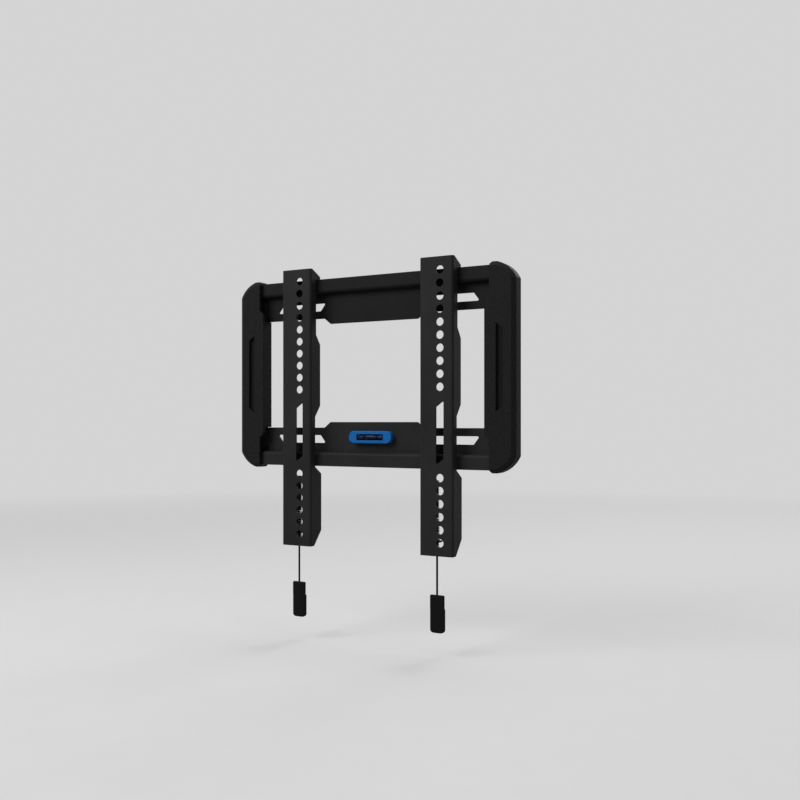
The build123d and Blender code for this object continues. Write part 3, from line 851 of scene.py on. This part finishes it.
class BRACKET_OT_spirit_level(Operator):
    """Finishes the level's body and magnets and fills its vial"""

    bl_idname = "bracket.spirit_level"
    bl_label = "Spirit level"

    def execute(self, context):
        settings = context.scene.bracket_level
        dress("level_body", level_plastic(settings))
        nickel = plated_steel("magnet nickel", (0.6, 0.58, 0.55), grain=0.0008, low=0.2, high=0.3)
        dress("level_magnets", nickel)
        dress("level_vial", clear_vial())
        low, high = (np.array(corner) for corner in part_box("level_vial"))
        centre = (low + high) / 2
        radius = (high[2] - low[2]) / 2
        half_length = (high[0] - low[0]) / 2
        fluid_radius = radius * FLUID_SHARE
        fluid = rounded_rod("vial_fluid", centre, half_length - FLUID_MARGIN, fluid_radius,
                            fluid_radius * 0.8)
        finish_piece(fluid, vial_fluid(settings), "wall_plate")
        # The bubble's shape is real; its lighter colour is painted highlight
        bubble = ellipsoid(
            "vial_bubble",
            centre + (BUBBLE_SHIFT, -BUBBLE_FORWARD * fluid_radius, BUBBLE_UP * fluid_radius),
            (settings.bubble_length / 2, BUBBLE_DEPTH * fluid_radius, BUBBLE_HEIGHT * fluid_radius))
        finish_piece(bubble, bubble_painted_highlight(settings), "wall_plate")
        paint = ring_paint()
        for name, step in (("vial_ring_left", -0.5), ("vial_ring_right", 0.5)):
            x = centre[0] + step * settings.ring_spacing
            ring = band(name, x, centre, radius + RING_LIFT, RING_WIDTH, RING_THICKNESS)
            finish_piece(ring, paint, "wall_plate")
        return {"FINISHED"}


class BRACKET_OT_stage(Operator):
    """Sets the floor, the lamps, the pale room and the camera"""

    bl_idname = "bracket.stage"
    bl_label = "Stage"

    def execute(self, context):
        settings = context.scene.bracket_stage
        ring = np.linspace(0, 2 * np.pi, 96, endpoint=False)
        level = np.full(len(ring), cad_box[0][2] - settings.floor_drop)
        points = np.stack(
            [FLOOR_RADIUS * np.cos(ring), FLOOR_RADIUS * np.sin(ring), level], axis=-1)
        floor = put_mesh("floor", points, [list(range(len(ring)))], smooth=False)
        floor.data.materials.append(pale_floor(settings.floor_glow))
        context.scene.world = pale_room(settings.room_light)
        for name, place, size, power in LAMPS:
            self.lamp(name, place, size, getattr(settings, power))
        lens = bpy.data.cameras.new("camera")
        lens.lens = settings.camera_lens
        lens.sensor_width = 36.0
        lens.shift_x = settings.camera_side_shift
        lens.shift_y = settings.camera_shift
        camera = bpy.data.objects.new("camera", lens)
        camera.location = settings.camera_place
        camera.rotation_euler = (math.radians(90), 0, settings.camera_turn)
        context.collection.objects.link(camera)
        context.scene.camera = camera
        context.scene.view_settings.view_transform = "Standard"
        return {"FINISHED"}

    def lamp(self, name, place, size, power):
        """Square area lamp at place, turned towards the origin."""
        light = bpy.data.lights.new(name, "AREA")
        light.size = size
        light.energy = power
        lamp = bpy.data.objects.new(name, light)
        lamp.location = place
        lamp.rotation_euler = (-lamp.location).to_track_quat("-Z", "Y").to_euler()
        bpy.context.collection.objects.link(lamp)


class BRACKET_PT_sidebar(Panel):
    """Lists the bracket's steps in the sidebar"""

    bl_idname = "BRACKET_PT_sidebar"
    bl_label = "Wall bracket"
    bl_space_type = "VIEW_3D"
    bl_region_type = "UI"
    bl_category = "Bracket"

    def draw(self, context):
        for step in STEPS:
            self.layout.operator(step.bl_idname)


STEPS = (
    BRACKET_OT_wall_frame, BRACKET_OT_arms, BRACKET_OT_latches, BRACKET_OT_pull_cords,
    BRACKET_OT_spirit_level, BRACKET_OT_stage)
GROUPS = {
    "bracket_coat": CoatSettings, "bracket_pull": PullSettings, "bracket_level": LevelSettings,
    "bracket_stage": StageSettings}


def register():
    """Registers the settings, operators and panel."""
    for group in GROUPS.values():
        bpy.utils.register_class(group)
    for step in STEPS + (BRACKET_PT_sidebar,):
        bpy.utils.register_class(step)
    for name, group in GROUPS.items():
        setattr(bpy.types.Scene, name, PointerProperty(type=group))


def unregister():
    """Takes the panel, operators and settings away again."""
    for name in GROUPS:
        delattr(bpy.types.Scene, name)
    for step in (BRACKET_PT_sidebar,) + STEPS[::-1]:
        bpy.utils.unregister_class(step)
    for group in GROUPS.values():
        bpy.utils.unregister_class(group)


def main():
    register()
    bpy.ops.bracket.wall_frame()
    bpy.ops.bracket.arms()
    bpy.ops.bracket.latches()
    bpy.ops.bracket.pull_cords()
    bpy.ops.bracket.spirit_level()
    bpy.ops.bracket.stage()


if __name__ == "__main__":
    main()
